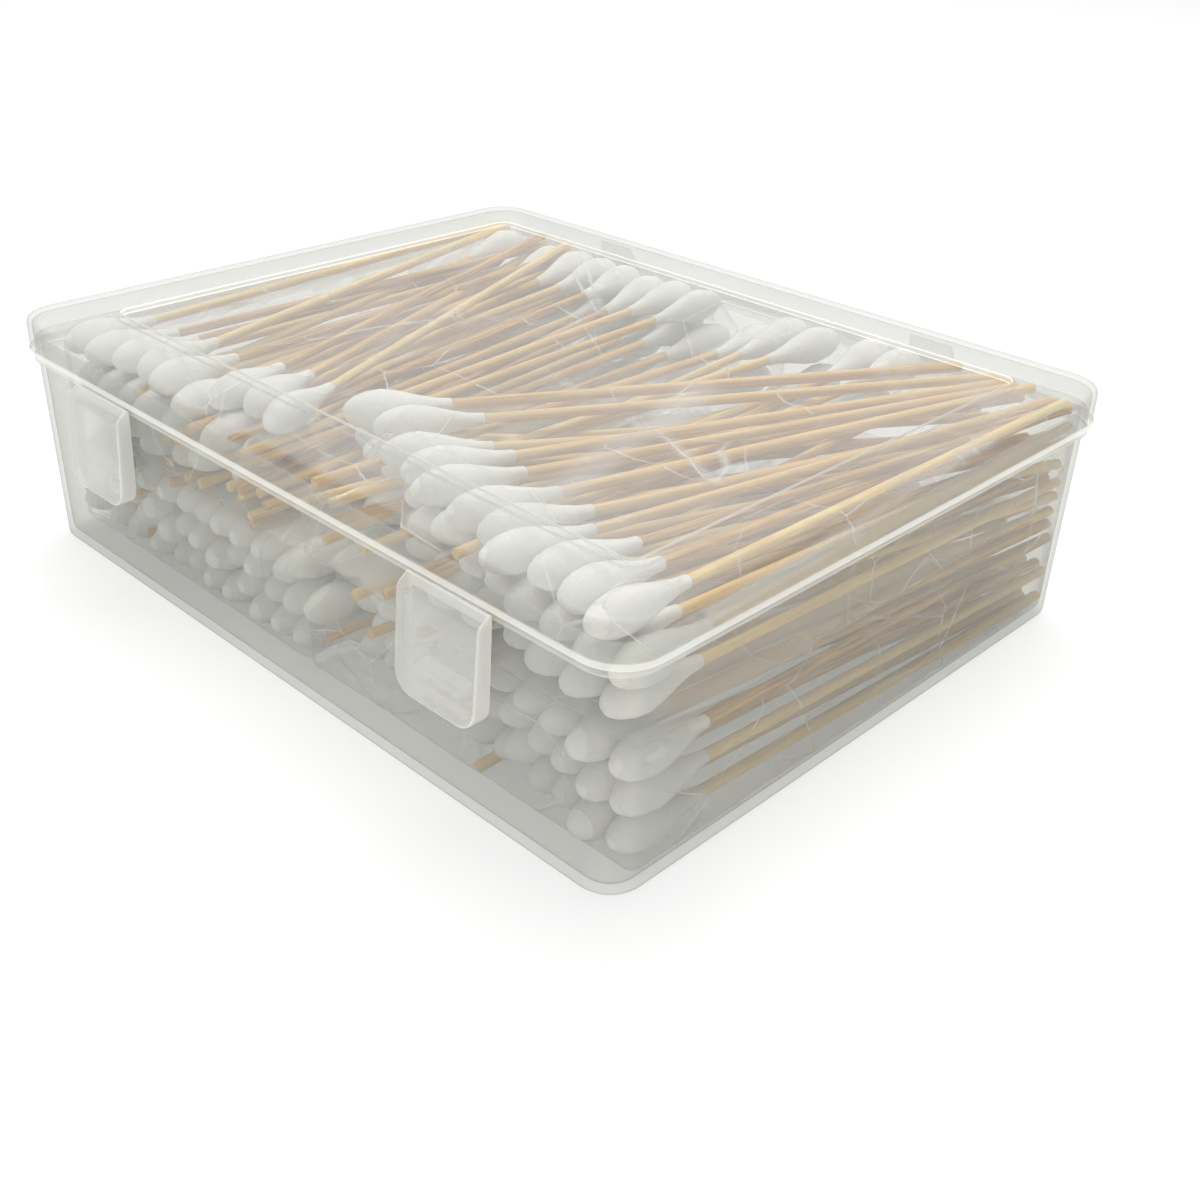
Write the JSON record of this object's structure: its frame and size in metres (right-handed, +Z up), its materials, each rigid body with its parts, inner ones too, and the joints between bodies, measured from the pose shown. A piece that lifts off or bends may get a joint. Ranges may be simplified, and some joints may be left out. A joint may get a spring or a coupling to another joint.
{
  "type": "swab tub",
  "caption": "Clear rectangular tub with a hinged lid and front snap latches, packed with film bags of single-ended wooden cotton swabs.",
  "frame": {"origin": "middle of the tub's flat base, on the surface it stands on", "axes": "+Z up, X along the long side, -Y towards the latches, +Y towards the lid hinge"},
  "size_m": [0.208, 0.1752, 0.06],
  "materials": {
    "tub": "natural translucent polypropylene, smooth moulded",
    "lid": "natural translucent polypropylene, smooth moulded",
    "latch": "natural translucent polypropylene, smooth moulded",
    "film": "clear crinkled packing film",
    "stick": "pale birch, rolled, bare",
    "bud": "wound cotton"
  },
  "bodies": {
    "tub": {"tub": "tub", "bag_lower_left": "film", "bag_lower_right": "film", "bag_upper_left": "film", "bag_upper_right": "film", "sticks_lower_left": "stick", "sticks_lower_right": "stick", "sticks_upper_left": "stick", "sticks_upper_right": "stick", "buds_lower_left": "bud", "buds_lower_right": "bud", "buds_upper_left": "bud", "buds_upper_right": "bud"},
    "lid": {"lid": "lid"},
    "latch_left": {"latch_left": "latch"},
    "latch_right": {"latch_right": "latch"}
  },
  "joints": [
    {"name": "lid_hinge", "type": "hinge", "parent": "tub", "child": "lid", "pos_m": [0, 0.0846, 0.0465], "axis": [-1, 0, 0], "range_deg": [0, 115]},
    {"name": "latch_left_hinge", "type": "hinge", "parent": "lid", "child": "latch_left", "pos_m": [-0.0615, -0.083, 0.04975], "axis": [-1, 0, 0], "range_deg": [0, 100]},
    {"name": "latch_right_hinge", "type": "hinge", "parent": "lid", "child": "latch_right", "pos_m": [0.0615, -0.083, 0.04975], "axis": [-1, 0, 0], "range_deg": [0, 100]}
  ]
}
